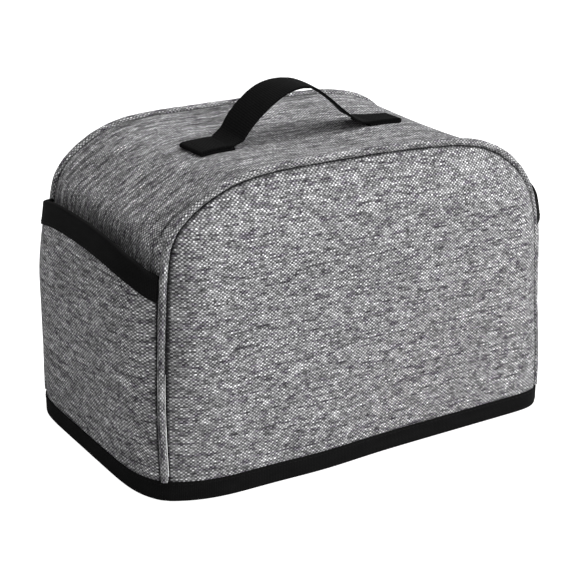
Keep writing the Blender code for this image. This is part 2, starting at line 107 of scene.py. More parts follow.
# Middle of the strap from the left fold to the right fold, with its width tilt in degrees
STRAP_ROWS = (
    {"x": -0.0500, "y": -0.0090, "z": 0.1965, "tilt": 6.0},
    {"x": -0.0440, "y": -0.0085, "z": 0.2040, "tilt": 10.0},
    {"x": -0.0350, "y": -0.0080, "z": 0.2122, "tilt": 11.0},
    {"x": -0.0240, "y": -0.0075, "z": 0.2190, "tilt": 9.0},
    {"x": -0.0120, "y": -0.0070, "z": 0.2226, "tilt": 4.0},
    {"x": 0.0010, "y": -0.0065, "z": 0.2222, "tilt": 2.0},
    {"x": 0.0130, "y": -0.0055, "z": 0.2165, "tilt": 8.0},
    {"x": 0.0250, "y": -0.0040, "z": 0.2085, "tilt": 14.0},
    {"x": 0.0370, "y": -0.0020, "z": 0.1995, "tilt": 13.0},
    {"x": 0.0440, "y": -0.0010, "z": 0.1945, "tilt": 7.0},
)
# How far the left and right pocket faces stand from the middle, by height
POCKET_ROWS = (
    {"z": 0.000, "left": 0.1497, "right": 0.1497},
    {"z": 0.015, "left": 0.1497, "right": 0.1497},
    {"z": 0.050, "left": 0.1520, "right": 0.1525},
    {"z": 0.085, "left": 0.1539, "right": 0.1543},
    {"z": 0.105, "left": 0.1545, "right": 0.1545},
    {"z": 0.130, "left": 0.1535, "right": 0.1532},
    {"z": 0.150, "left": 0.1515, "right": 0.1493},
    {"z": 0.165, "left": 0.1500, "right": 0.1480},
)
# How square each upright corner of the ends is: a higher power is squarer
CORNER_POWER = {"left_front": 5.5, "left_back": 9.0, "right_front": 13.0, "right_back": 6.0}
# How square the faces are beside the hem's corners
HEM_POWER = {"left_front": 2.9, "left_back": 8.0, "right_front": 9.0, "right_back": 3.2}
STRAP_TIP_LEFT = -0.0785
STRAP_TIP_RIGHT = 0.0745
# The back seam against the front one, by place along the cover: how much higher it runs
BACK_ROWS = (
    {"x": -0.140, "rise": 0.0000},
    {"x": -0.120, "rise": 0.0018},
    {"x": -0.100, "rise": 0.0022},
    {"x": -0.050, "rise": 0.0008},
    {"x": 0.010, "rise": 0.0010},
    {"x": 0.055, "rise": 0.0022},
    {"x": 0.090, "rise": 0.0038},
    {"x": 0.120, "rise": 0.0072},
    {"x": 0.140, "rise": 0.0010},
)
# Height of a pocket's mouth from the back seam (y above zero) to the front seam
MOUTH_ROWS = (
    {"y": -0.0790, "z": 0.1385},
    {"y": -0.0720, "z": 0.1420},
    {"y": -0.0620, "z": 0.1480},
    {"y": -0.0450, "z": 0.1535},
    {"y": -0.0200, "z": 0.1565},
    {"y": 0.0100, "z": 0.1574},
    {"y": 0.0350, "z": 0.1568},
    {"y": 0.0550, "z": 0.1535},
    {"y": 0.0790, "z": 0.1470},
)

print("rows in the seam tables:", len(SIDE_ROWS), len(TOP_ROWS), len(STRAP_ROWS))

# %% [markdown]
# ## Outline of the seams
# A smooth line is drawn through each table. The two seams are the bones of the cover: both faces, the band
# and the pockets are all measured from them.

# %% Draw the two seam outlines


def smooth(a, b, value):
    """Ease from 0 at a to 1 at b, for one number or many."""
    t = np.clip((value - a) / (b - a), 0.0, 1.0)
    return t * t * (3.0 - 2.0 * t)


def line_through(rows, keys, count):
    """Evenly spaced points on a smooth line through the rows of a table."""
    pts = np.array([[row[k] for k in keys] for row in rows], dtype=float)
    pad = np.vstack([2 * pts[0] - pts[1], pts, 2 * pts[-1] - pts[-2]])
    fine = []
    for i in range(1, len(pad) - 2):
        p0, p1, p2, p3 = pad[i - 1], pad[i], pad[i + 1], pad[i + 2]
        for t in np.linspace(0.0, 1.0, 24, endpoint=False):
            fine.append(0.5 * (2 * p1 + (p2 - p0) * t + (2 * p0 - 5 * p1 + 4 * p2 - p3) * t * t
                               + (3 * p1 - p0 - 3 * p2 + p3) * t ** 3))
    fine.append(pad[-2])
    fine = np.array(fine)
    along = np.concatenate([[0.0], np.cumsum(np.linalg.norm(np.diff(fine, axis=0), axis=1))])
    want = np.linspace(0.0, along[-1], count)
    return np.stack([np.interp(want, along, fine[:, k]) for k in range(fine.shape[1])], axis=1)


SIDE_STEPS = 60
TOP_STEPS = 150


def seam_outline(back):
    """One seam in the upright plane: up the left side, over the top, down the right side."""
    tail = "_back" if back else ""
    left = line_through(SIDE_ROWS, ("left" + tail, "z"), SIDE_STEPS + 1)
    right = line_through(SIDE_ROWS, ("right" + tail, "z"), SIDE_STEPS + 1)[::-1]
    top = line_through(TOP_ROWS, ("x", "z"), TOP_STEPS + 1)
    line = np.vstack([left, top[1:-1], right])
    if back:
        rise = np.interp(line[:, 0], [r["x"] for r in BACK_ROWS], [r["rise"] for r in BACK_ROWS])
        line[:, 1] += rise * smooth(0.10, 0.16, line[:, 1])
    for _ in range(6):
        line[1:-1] = (line[:-2] + 2.0 * line[1:-1] + line[2:]) / 4.0
    return line


def outward(line):
    """Unit direction out of the outline at each point."""
    along = np.gradient(line, axis=0)
    along /= np.linalg.norm(along, axis=1)[:, None]
    return np.stack([-along[:, 1], along[:, 0]], axis=1)


SEAM = {-1: seam_outline(False), 1: seam_outline(True)}
SEAM_OUT = {sign: outward(line) for sign, line in SEAM.items()}
STATIONS = len(SEAM[-1])
SIDE_Z = np.linspace(0.0, 0.150, 121)
SIDE_X = {}
for side_sign in (-1, 1):
    for face_sign in (-1, 1):
        upright = SEAM[face_sign] if side_sign < 0 else SEAM[face_sign][::-1]
        upright = upright[: SIDE_STEPS + 1]
        SIDE_X[(side_sign, face_sign)] = np.interp(SIDE_Z, upright[:, 1], upright[:, 0])
print("points on each seam:", STATIONS)

# %% [markdown]
# ## The shape of each surface
# Filled with padding, a face swells out of its seams quickly beside the piping and then lies flat. The ends
# do the same, and the top of the band sinks a little under the handle.

# %% Describe the swelling surfaces


def seam_y(x, z, sign):
    """Distance of a seam from the middle: leaning in at the top, flared low at two corners."""
    flare = CORNER_FLARE * smooth(0.0, 0.135, -sign * x) * (1.0 - smooth(0.015, 0.11, np.maximum(z, 0.015)))
    return SEAM_HALF_DEPTH - 0.0012 * smooth(0.10, 0.20, z) + flare


def hem_corner(x, y):
    return ("left" if x < 0 else "right") + ("_front" if y < 0 else "_back")


def near_seam(x, z, sign):
    """Distance to the nearest seam and how far that seam lies over the top there (0 upright, 1 level)."""
    line, out = SEAM[sign], SEAM_OUT[sign]
    keep = line[:, 1] > 0.0149
    away = np.hypot(line[keep, 0] - x, line[keep, 1] - max(z, 0.015))
    return away, np.clip(out[keep, 1], 0.0, 1.0)


def face_share(x, z, sign):
    """How much of its full swell a face has reached at one point."""
    away, level = near_seam(x, z, sign)
    near = away.min()
    weight = np.exp(-(away - near) / (0.12 * near + 0.0003))
    hem = 1.0 - smooth(0.02, 0.09, max(z, 0.015))
    side_power = 5.5 + (HEM_POWER[hem_corner(x, sign)] - 5.5) * hem
    power = side_power + (2.6 - side_power) * level
    share = 1.0 - (1.0 - np.clip(away / 0.060, 0.0, 1.0)) ** power
    return float((share * weight).sum() / weight.sum())


def ripple(u, v, seed):
    """A few broad, shallow waves, as padded cloth never lies dead flat."""
    draw = random.Random(seed)
    total = 0.0
    for _ in range(7):
        ku, kv = draw.uniform(-34.0, 34.0), draw.uniform(-26.0, 26.0)
        total += math.sin(ku * u + kv * v + draw.uniform(0.0, 6.28)) / 7.0
    return total


def face_y(x, z, sign):
    low = max(z, 0.015)
    wave = HEM_WAVE * math.exp(-((x - sign * 0.035) / 0.032) ** 2) * (1.0 - smooth(0.015, 0.10, low))
    lean = 0.0012 * smooth(0.10, 0.20, z)
    base = seam_y(x, low, sign)
    share = face_share(x, low, sign)
    uneven = 0.0011 * ripple(x, z, 11 + sign) * share * smooth(0.014, 0.05, z)
    return sign * (base + (FACE_OUT - lean + wave - base) * share + uneven)


def side_x(side, z, y):
    """Where the seams of one end stand, by height, eased from the front seam to the back one."""
    low = max(z, 0.015)
    front = float(np.interp(low, SIDE_Z, SIDE_X[(side, -1)]))
    back = float(np.interp(low, SIDE_Z, SIDE_X[(side, 1)]))
    t = min(max(0.5 + 0.5 * y / SEAM_HALF_DEPTH, 0.0), 1.0)
    return front + (back - front) * t


POCKET_LINE = {key: line_through([{"z": r["z"], "out": r[key]} for r in POCKET_ROWS], ("z", "out"), 80)
               for key in ("left", "right")}


def pocket_x(side, y, z):
    """Outer surface of a pocket."""
    low = max(z, 0.015)
    seam = side_x(side, low, y)
    table = POCKET_LINE["left" if side < 0 else "right"]
    out = float(np.interp(low, table[:, 0], table[:, 1]))
    reach = seam_y(seam, low, -1.0 if y < 0 else 1.0)
    power = CORNER_POWER[hem_corner(side, y)]
    power -= (power - (5.5 if side < 0 or y > 0 else 10.0)) * smooth(0.10, 0.15, low)
    share = 1.0 - min(abs(y) / reach, 1.0) ** power
    uneven = 0.0007 * ripple(y, z, 30 + side) * share * smooth(0.016, 0.04, z)
    return seam + (side * (out + uneven) - seam) * share


def pocket_slope(side, y, z):
    step = 0.0004
    return (pocket_x(side, y + step, z) - pocket_x(side, y - step, z)) / (2.0 * step)


def band_point(index, v):
    """Outer surface of the band at one station along it, v running from front to back."""
    x = SEAM[-1][index, 0] * (1 - v) + SEAM[1][index, 0] * v
    z = SEAM[-1][index, 1] * (1 - v) + SEAM[1][index, 1] * v
    out = SEAM_OUT[-1][index] * (1 - v) + SEAM_OUT[1][index] * v
    low = max(z, 0.015)
    y = (2.0 * v - 1.0) * seam_y(x, low, -1.0 if v < 0.5 else 1.0)
    turn = smooth(0.10, 0.95, out[1])
    across = 2.0 * v - 1.0
    crown = 1.0 - across ** 2
    square = 1.0 - abs(across) ** 4
    dip = 0.0020 + (TOP_SAG - 0.0020) * math.exp(-(x / 0.058) ** 2)
    behind = smooth(0.018, 0.045, z) * (1.0 - smooth(0.140, 0.165, z))
    side_amount = (BAND_SWELL - BEHIND_POCKET * behind) * square
    if z < 0.185:
        side = -1 if x < 0 else 1
        clear = 0.00060 + 0.00160 * smooth(0.108, 0.124, z)
        slant = math.sqrt(1.0 + pocket_slope(side, y, z) ** 2)
        limit = abs(pocket_x(side, y, z)) - abs(side_x(side, z, y)) - (POCKET_CLOTH + clear) * slant
        held = min(side_amount, limit)
        side_amount = held + (side_amount - held) * smooth(0.157, 0.172, z)
    amount = side_amount * (1.0 - turn) - dip * crown * turn
    amount += 0.0008 * ripple(x + z, y, 5) * square * smooth(0.158, 0.172, z)
    return np.array([x + out[0] * amount, y, z + out[1] * amount])


print("front face at the middle stands at y =", round(face_y(0.0, 0.08, -1), 4))

# %% [markdown]
# ## Cloth, tape and webbing
# The grey cloth is a plain weave of dark warp and pale weft yarns. Neither yarn is dyed evenly: short dark and
# light slubs run along the weft, which is what gives the cloth its streaks. The shader counts threads from the
# piece's own flat measurements, so the weave turns with each piece as it was cut.

# %% Build the woven finishes


def new_group(name, inputs, outputs):
    """A shared shading group with named sockets."""
    group = bpy.data.node_groups.new(name, "ShaderNodeTree")
    for label, kind, value in inputs:
        made = group.interface.new_socket(name=label, in_out="INPUT", socket_type=kind)
        if value is not None:
            made.default_value = value
    for label, kind in outputs:
        group.interface.new_socket(name=label, in_out="OUTPUT", socket_type=kind)
    return group, group.nodes.new("NodeGroupInput"), group.nodes.new("NodeGroupOutput")


class Wiring:
    """Short names for the nodes that the finishes use."""

    def __init__(self, tree):
        self.tree = tree

    def feed(self, node, slot, value):
        if isinstance(value, bpy.types.NodeSocket):
            self.tree.links.new(value, node.inputs[slot])
        else:
            node.inputs[slot].default_value = value

    def math(self, operation, a, b=0.0, c=None, clamp=False):
        node = self.tree.nodes.new("ShaderNodeMath")
        node.operation = operation
        node.use_clamp = clamp
        self.feed(node, 0, a)
        self.feed(node, 1, b)
        if c is not None:
            self.feed(node, 2, c)
        return node.outputs[0]

    def vector(self, x, y, z=0.0):
        node = self.tree.nodes.new("ShaderNodeCombineXYZ")
        for slot_name, value in zip("XYZ", (x, y, z)):
            self.feed(node, slot_name, value)
        return node.outputs[0]

    def noise(self, vector, scale, detail=1.0, rough=0.5):
        node = self.tree.nodes.new("ShaderNodeTexNoise")
        self.feed(node, "Vector", vector)
        self.feed(node, "Scale", scale)
        self.feed(node, "Detail", detail)
        self.feed(node, "Roughness", rough)
        return node.outputs[0]

    def ramp(self, value, low, high, to_low=0.0, to_high=1.0):
        node = self.tree.nodes.new("ShaderNodeMapRange")
        for slot_name, number in (("Value", value), ("From Min", low), ("From Max", high),
                                  ("To Min", to_low), ("To Max", to_high)):
            self.feed(node, slot_name, number)
        return node.outputs[0]

    def mix(self, share, a, b):
        node = self.tree.nodes.new("ShaderNodeMix")
        node.data_type = "RGBA"
        self.feed(node, 0, share)
        self.feed(node, 6, a)
        self.feed(node, 7, b)
        return node.outputs[2]


WEFT_PITCH = 0.00106
WARP_PITCH = 0.00128


def melange_group():
    group, inside, outside = new_group(
        "melange weave",
        (("Vector", "NodeSocketVector", None), ("Tone", "NodeSocketFloat", 1.0),
         ("Streaks", "NodeSocketFloat", 0.0)),
        (("Color", "NodeSocketColor"), ("Height", "NodeSocketFloat")))
    w = Wiring(group)
    split = group.nodes.new("ShaderNodeSeparateXYZ")
    group.links.new(inside.outputs["Vector"], split.inputs[0])
    u, v = split.outputs[0], split.outputs[1]
    drift = w.noise(w.vector(w.math("MULTIPLY", u, 22.0), w.math("MULTIPLY", v, 22.0)), 1.0, 2.0)
    v_bent = w.math("ADD", v, w.math("MULTIPLY", w.math("SUBTRACT", drift, 0.5), 0.0030))
    across = w.math("DIVIDE", v_bent, WEFT_PITCH)
    along = w.math("DIVIDE", u, WARP_PITCH)
    row = w.math("FLOOR", across)
    column = w.math("FLOOR", along)
    in_row = w.math("SUBTRACT", across, row)
    in_column = w.math("SUBTRACT", along, column)
    turn = w.math("PINGPONG", w.math("ADD", row, column), 1.0)
    pale_yarn = w.noise(w.vector(w.math("MULTIPLY", u, 150.0), w.math("MULTIPLY", row, 5.37), 0.0), 1.0, 2.0, 0.6)
    dark_yarn = w.noise(w.vector(w.math("MULTIPLY", column, 3.71), w.math("MULTIPLY", v, 70.0), 4.0), 1.0, 1.0)
    slub = w.noise(w.vector(w.math("MULTIPLY", u, 135.0), w.math("MULTIPLY", row, 9.13), 9.0), 1.0, 1.0)
    fleck = w.noise(w.vector(w.math("MULTIPLY", u, 820.0), w.math("MULTIPLY", row, 2.9), 2.0), 1.0, 0.0)
    broad = w.noise(w.vector(w.math("MULTIPLY", u, 32.0), w.math("MULTIPLY", v, 860.0), 1.0), 1.0, 2.0)
    pale = w.ramp(pale_yarn, 0.32, 0.70, 0.16, 1.02)
    pale = w.math("MULTIPLY", pale, w.ramp(fleck, 0.30, 0.70, 0.52, 1.32))
    dark = w.ramp(dark_yarn, 0.30, 0.70, 0.015, 0.090)
    dark_slub = w.math("SUBTRACT", 1.0, w.ramp(slub, 0.35, 0.44, 0.0, 1.0))
    chance = group.nodes.new("ShaderNodeTexWhiteNoise")
    chance.noise_dimensions = "2D"
    group.links.new(w.vector(row, column), chance.inputs["Vector"])
    share = w.math("ADD", w.ramp(turn, 0.0, 1.0, 0.05, 0.76), w.math("MULTIPLY", chance.outputs["Value"], 0.26))
    value = w.math("ADD", w.math("MULTIPLY", pale, share),
                   w.math("MULTIPLY", dark, w.math("SUBTRACT", 1.0, share)))
    value = w.math("MULTIPLY", value, w.ramp(dark_slub, 0.0, 1.0, 1.0, 0.46))
    value = w.math("MULTIPLY", value, w.ramp(broad, 0.34, 0.66, 0.74, 1.24))
    # Painted shade and highlight: each yarn's colour is darkened towards its edges, where it rounds away from the
    # light, and lifted a little on its crown.
    round_row = w.math("SINE", w.math("MULTIPLY", in_row, math.pi))
    round_column = w.math("SINE", w.math("MULTIPLY", in_column, math.pi))
    bulge = w.math("MULTIPLY", round_row, w.ramp(round_column, 0.0, 1.0, 0.55, 1.0))
    value = w.math("MULTIPLY", value, w.ramp(bulge, 0.0, 0.9, 0.38, 1.12))
    wide = w.noise(w.vector(w.math("MULTIPLY", u, 30.0), w.math("MULTIPLY", v, 270.0), 6.0), 1.0, 3.0, 0.6)
    streak = w.math("MULTIPLY", w.ramp(wide, 0.34, 0.66, -0.48, 0.40), inside.outputs["Streaks"])
    value = w.math("MULTIPLY", value, w.math("ADD", streak, 1.0))
    value = w.math("MULTIPLY", value, inside.outputs["Tone"])
    tint = w.mix(dark_slub, (0.985, 0.985, 1.0, 1.0), (0.93, 0.86, 1.0, 1.0))
    scaled = group.nodes.new("ShaderNodeVectorMath")
    scaled.operation = "SCALE"
    group.links.new(tint, scaled.inputs[0])
    group.links.new(value, scaled.inputs["Scale"])
    group.links.new(scaled.outputs[0], outside.inputs["Color"])
    height = w.math("ADD", w.math("MULTIPLY", bulge, 0.6), w.math("MULTIPLY", pale_yarn, 0.4))
    group.links.new(height, outside.inputs["Height"])
    return group


def ribbed_group():
    """Fine ribs across a narrow woven tape, painted into its colour as shade in the troughs and light on the crests,
    with a little lint and wear.
    """
    group, inside, outside = new_group(
        "ribbed tape",
        (("Vector", "NodeSocketVector", None), ("Pitch", "NodeSocketFloat", 0.001),
         ("Lightness", "NodeSocketFloat", 0.02)),
        (("Color", "NodeSocketColor"), ("Height", "NodeSocketFloat")))
    w = Wiring(group)
    split = group.nodes.new("ShaderNodeSeparateXYZ")
    group.links.new(inside.outputs["Vector"], split.inputs[0])
    u, v = split.outputs[0], split.outputs[1]
    along = w.math("DIVIDE", u, inside.outputs["Pitch"])
    across = w.math("DIVIDE", v, inside.outputs["Pitch"])
    rib = w.math("ABSOLUTE", w.math("SINE", w.math("MULTIPLY", along, math.pi)))
    pick = w.math("ABSOLUTE", w.math("SINE", w.math("MULTIPLY", w.math("ADD", across, w.math("FLOOR", along)), 1.5708)))
    lint = w.noise(w.vector(w.math("MULTIPLY", u, 900.0), w.math("MULTIPLY", v, 900.0)), 1.0, 2.0)
    broad = w.noise(w.vector(w.math("MULTIPLY", u, 60.0), w.math("MULTIPLY", v, 200.0)), 1.0, 2.0)
    # Painted shade and highlight: the tape's colour is darker in the troughs of its ribs and picks and lighter on their
    # crests.
    value = w.math("MULTIPLY", inside.outputs["Lightness"], w.ramp(rib, 0.0, 1.0, 0.55, 1.35))
    value = w.math("MULTIPLY", value, w.ramp(pick, 0.0, 1.0, 0.80, 1.15))
    value = w.math("MULTIPLY", value, w.ramp(broad, 0.3, 0.7, 0.80, 1.25))
    value = w.math("ADD", value, w.math("MULTIPLY", w.ramp(lint, 0.66, 0.80), 0.010))
    scaled = group.nodes.new("ShaderNodeVectorMath")
    scaled.operation = "SCALE"
    scaled.inputs[0].default_value = (1.0, 1.0, 1.02)
    group.links.new(value, scaled.inputs["Scale"])
    group.links.new(scaled.outputs[0], outside.inputs["Color"])
    height = w.math("ADD", w.math("MULTIPLY", rib, 0.7), w.math("MULTIPLY", pick, 0.3))
    group.links.new(height, outside.inputs["Height"])
    return group


def cloth_finish(name, group, values, rough, sheen, bump, shine=0.12):
    """A cloth material that reads its weave from the piece's own flat measurements."""
    made = bpy.data.materials.new(name)
    made.use_nodes = True
    tree = made.node_tree
    shader = tree.nodes["Principled BSDF"]
    where = tree.nodes.new("ShaderNodeUVMap")
    where.uv_map = "flat"
    weave = tree.nodes.new("ShaderNodeGroup")
    weave.node_tree = group
    tree.links.new(where.outputs[0], weave.inputs["Vector"])
    for label, number in values.items():
        weave.inputs[label].default_value = number
    w = Wiring(tree)
    # Painted shade: within about 1.6 mm of a sewn edge the colour is mixed towards near-black as the shadow in the
    # groove beside the piping, and within about 12 mm it is darkened a little more as shade where the cloth turns into
    # the seam.
    beside = tree.nodes.new("ShaderNodeAttribute")
    beside.attribute_name = "edge"
    painted_groove_shade = w.ramp(beside.outputs["Fac"], 0.0002, 0.0016, 0.05, 1.0)
    painted_seam_shade = w.ramp(beside.outputs["Fac"], 0.0, 0.012, 0.86, 1.0)
    seam_shaded_color = w.mix(w.math("MULTIPLY", painted_groove_shade, painted_seam_shade), (0.004, 0.004, 0.005, 1.0), weave.outputs["Color"])
    tree.links.new(seam_shaded_color, shader.inputs["Base Color"])
    lift = tree.nodes.new("ShaderNodeBump")
    lift.inputs["Strength"].default_value = bump
    lift.inputs["Distance"].default_value = 0.0004
    tree.links.new(weave.outputs["Height"], lift.inputs["Height"])
    tree.links.new(lift.outputs[0], shader.inputs["Normal"])
    shader.inputs["Roughness"].default_value = rough
    shader.inputs["Sheen Weight"].default_value = sheen
    shader.inputs["Sheen Roughness"].default_value = 0.5
    shader.inputs["Specular IOR Level"].default_value = shine
    return made


MELANGE = melange_group()
RIBBED = ribbed_group()
# Painted light and shade: these pieces are all cut from one cloth, and the Tone given to each piece (lighter on the
# pockets, darker on the band and piping than on the faces) stands in for how much light falls on it.
CLOTH = cloth_finish("grey melange cloth", MELANGE, {"Tone": 1.10, "Streaks": 0.20}, 0.88, 0.06, 0.55)
BAND_GREY = cloth_finish("grey melange band cloth", MELANGE, {"Tone": 0.96, "Streaks": 1.25}, 0.88, 0.06, 0.55)
POCKET_GREY = cloth_finish("grey melange pocket cloth", MELANGE, {"Tone": 1.22, "Streaks": 0.70}, 0.88, 0.06, 0.55)
PIPING_GREY = cloth_finish("grey melange piping", MELANGE, {"Tone": 0.95}, 0.88, 0.06, 0.45)
TAPE_BLACK = cloth_finish("black ribbed tape", RIBBED, {"Pitch": 0.0011, "Lightness": 0.0042}, 0.85, 0.0, 0.5, shine=0.08)
WEBBING = cloth_finish("black webbing", RIBBED, {"Pitch": 0.0016, "Lightness": 0.0026}, 0.80, 0.0, 0.7, shine=0.07)
THREAD = cloth_finish("black sewing thread", RIBBED, {"Pitch": 0.0006, "Lightness": 0.0060}, 0.7, 0.0, 0.3)
print("finishes:", [m.name for m in bpy.data.materials if m.users or m.use_nodes])

# %% [markdown]
# ## One sheet of cloth
# Every cloth piece starts as a table of points on its outer face, with the place that each point had on the
# flat cut. The table becomes a mesh of quads, the flat places become its UV map in metres, and Solidify then
# gives the cloth its thickness, inwards from the face. The distance to the nearest sewn edge is kept too,
# because shade is painted into the cloth's colour beside a seam: near-black in the groove at the edge, and
# a little darker for about 12 mm beyond it.

# %% Make sheets from tables of points
MIDDLE = Vector((0.0, 0.0, 0.08))


def cut_size(grid):
    """Flat width, length and area of a sheet, from its table of points."""
    across = np.linalg.norm(np.diff(grid, axis=1), axis=2).sum(axis=1).max()
    along = np.linalg.norm(np.diff(grid, axis=0), axis=2).sum(axis=0).max()
    side = grid[1:, :-1] - grid[:-1, :-1]
    base = grid[:-1, 1:] - grid[:-1, :-1]
    area = float(np.linalg.norm(np.cross(side, base), axis=2).sum())
    return float(across), float(along), min(area, 1.0009 * across * along)


def cloth_sheet(name, grid, flat, edge, material, thickness, offset=-1.0, ring=False, soften=0.0):
    """A sheet of cloth from a table of points, its flat places and its distances to a sewn edge."""
    rows, columns = grid.shape[:2]
    faces = [(i * columns + j, i * columns + j + 1, (i + 1) * columns + j + 1, (i + 1) * columns + j)
             for i in range(rows - 1) for j in range(columns - 1)]
    mesh = bpy.data.meshes.new(name)
    mesh.from_pydata(grid.reshape(-1, 3).tolist(), [], faces)
    layer = mesh.uv_layers.new(name="flat")
    corners = np.array([loop.vertex_index for loop in mesh.loops])
    layer.data.foreach_set("uv", flat.reshape(-1, 2)[corners].astype(np.float32).ravel())
    mask = mesh.attributes.new("edge", "FLOAT", "POINT")
    mask.data.foreach_set("value", edge.ravel().astype(np.float32))
    work = bmesh.new()
    work.from_mesh(mesh)
    if ring:
        bmesh.ops.remove_doubles(work, verts=work.verts, dist=0.00001)
    faced = sum((f.calc_center_median() - MIDDLE).dot(f.normal) * f.calc_area() for f in work.faces)
    if faced < 0.0:
        bmesh.ops.reverse_faces(work, faces=work.faces)
    work.to_mesh(mesh)
    work.free()
    mesh.materials.append(material)
    made = bpy.data.objects.new(name, mesh)
    bpy.context.scene.collection.objects.link(made)
    solid = made.modifiers.new("thickness", "SOLIDIFY")
    solid.thickness = thickness
    solid.offset = offset
    solid.use_even_offset = True
    if soften > 0.0:
        bevel = made.modifiers.new("soft edges", "BEVEL")
        bevel.width = soften
        bevel.segments = 2
        bevel.limit_method = "ANGLE"
        bevel.angle_limit = math.radians(60.0)
    apply_all(made)
    return made


def apply_all(made):
    """Keep what the modifiers make, and shade it smooth but for its cut edges."""
    bpy.ops.object.select_all(action="DESELECT")
    made.select_set(True)
    bpy.context.view_layer.objects.active = made
    for modifier in list(made.modifiers):
        bpy.ops.object.modifier_apply(modifier=modifier.name)
    bpy.ops.object.shade_smooth_by_angle(angle=math.radians(42.0))
    made.select_set(False)


def say(made, grid=None):
    """Print what was made."""
    triangles = sum(len(p.vertices) - 2 for p in made.data.polygons)
    text = f"{made.name}: {triangles} triangles"
    if grid is not None:
        width, length, area = cut_size(grid)
        text += f", cut {width * 1000:.0f} by {length * 1000:.0f} mm, {area * 10000:.0f} cm2"
    print(text)


def measured_rows(grid, axis):
    """Distance along each row of points from its first point."""
    steps = np.linalg.norm(np.diff(grid, axis=axis), axis=2)
    start = np.zeros_like(np.take(steps, [0], axis=axis))
    return np.concatenate([start, np.cumsum(steps, axis=axis)], axis=axis)


# %% [markdown]
# ## Front and back faces
# Each face is one shaped patch spanned between its two upright seams and the rounded top seam. Its edge stops
# just short of the piping, where the seam takes it in.

# %% Cut and sew in the two faces
GROOVE = 0.00030
SHOULDER_STEPS = 24


def face_edge(sign):
    """The face's own edge: the seam stepped in until it clears the piping."""
    line, out = SEAM[sign], SEAM_OUT[sign]
    edge = []
    for i in range(STATIONS):
        x, z = line[i]
        step = 0.0008
        while step < 0.0032:
            rise = abs(face_y(x - out[i, 0] * step, z - out[i, 1] * step, sign)) - seam_y(x, z, sign)
            if math.hypot(rise, step) > PIPING_RADIUS + GROOVE:
                break
            step += 0.0001
        edge.append((x - out[i, 0] * step, z - out[i, 1] * step))
    return np.array(edge)


def face_grid(sign):
    edge = face_edge(sign)
    edge[0, 1] = edge[-1, 1] = HEM_FLOOR
    half = SIDE_STEPS + SHOULDER_STEPS
    left = edge[: half + 1].copy()
    right = edge[STATIONS - half - 1:][::-1].copy()
    top = edge[half: STATIONS - half]
    a = np.linspace(0.0, 1.0, len(top))
    f = 0.15 * a + 0.85 * (0.5 - 0.5 * np.cos(math.pi * a))
    grid = np.zeros((half + 1, len(top), 3))
    away = np.zeros((half + 1, len(top)))
    for i in range(half + 1):
        b = i / half
        for j in range(len(top)):
            spot = left[i] * (1 - f[j]) + right[i] * f[j]
            x, z = spot + b * (top[j] - (top[0] * (1 - f[j]) + top[-1] * f[j]))
            grid[i, j] = (x, face_y(x, z, sign), z)
            away[i, j] = max(float(near_seam(x, z, sign)[0].min()) - PIPING_RADIUS, 0.0)
    return grid, away


FACE_GRID = {}
for sign, name in ((-1, "front_face"), (1, "back_face")):
    FACE_GRID[sign], away = face_grid(sign)
    flat = FACE_GRID[sign][:, :, [0, 2]].copy()
    made = cloth_sheet(name, FACE_GRID[sign], flat, away, CLOTH, BODY_CLOTH)
    say(made, FACE_GRID[sign])

# %% [markdown]
# ## The band
# One long strip makes both ends and the top. Its streaks run along its length, so they stand upright on the
# ends and run level on the top.

# %% Sew in the band
ACROSS = 48


def band_grid():
    trim = (PIPING_RADIUS + GROOVE * 1.6) / (2.0 * SEAM_HALF_DEPTH)
    s = np.linspace(0.0, 1.0, ACROSS + 1)
    s = 0.5 - 0.5 * np.cos(math.pi * s) * (1.0 - 0.35 * np.sin(math.pi * s) ** 2)
    grid = np.array([[band_point(i, trim + (1.0 - 2.0 * trim) * v) for v in s] for i in range(STATIONS)])
    grid[0, :, 2] = HEM_FLOOR
    grid[-1, :, 2] = HEM_FLOOR
    return grid


BAND_GRID = band_grid()
band_along = measured_rows(BAND_GRID, 0)[:, ACROSS // 2]
band_across = measured_rows(BAND_GRID, 1)
band_flat = np.stack([np.repeat(band_along[:, None], ACROSS + 1, axis=1), BAND_GRID[:, :, 1]], axis=2)
band_edge = np.minimum(band_across, band_across[:, -1:] - band_across)
band = cloth_sheet("band", BAND_GRID, band_flat, band_edge, BAND_GREY, BODY_CLOTH)
say(band, BAND_GRID)

# %% [markdown]
# ## End pockets
# A patch pocket covers most of each end. It stands a little off the band, is caught in both seams and the hem,
# and droops towards the seams at its bound mouth.

# %% Sew on the pockets and bind their mouths
POCKET_COLUMNS = 72
POCKET_STEPS = 56
MOUTH_LINE = line_through(MOUTH_ROWS, ("y", "z"), 120)


def mouth_height(y):
    return float(np.interp(y, MOUTH_LINE[:, 0], MOUTH_LINE[:, 1]))


def pocket_edge(side, sign, z):
    """Where a pocket's side edge stops, just clear of the piping."""
    seam = side_x(side, z, sign * SEAM_HALF_DEPTH)
    reach = seam_y(seam, max(z, 0.015), sign)
    step = 0.0010
    while step < 0.0030:
        if math.hypot(pocket_x(side, sign * (reach - step), z) - seam, step) > PIPING_RADIUS + 1.3 * GROOVE:
            break
        step += 0.0001
    return sign * (reach - step)


def pocket_spots(side, z):
    front, back = pocket_edge(side, -1.0, z), pocket_edge(side, 1.0, z)
    t = np.linspace(0.0, 1.0, POCKET_COLUMNS + 1)
    return front + (back - front) * (0.2 * t + 0.8 * (0.5 - 0.5 * np.cos(math.pi * t)))


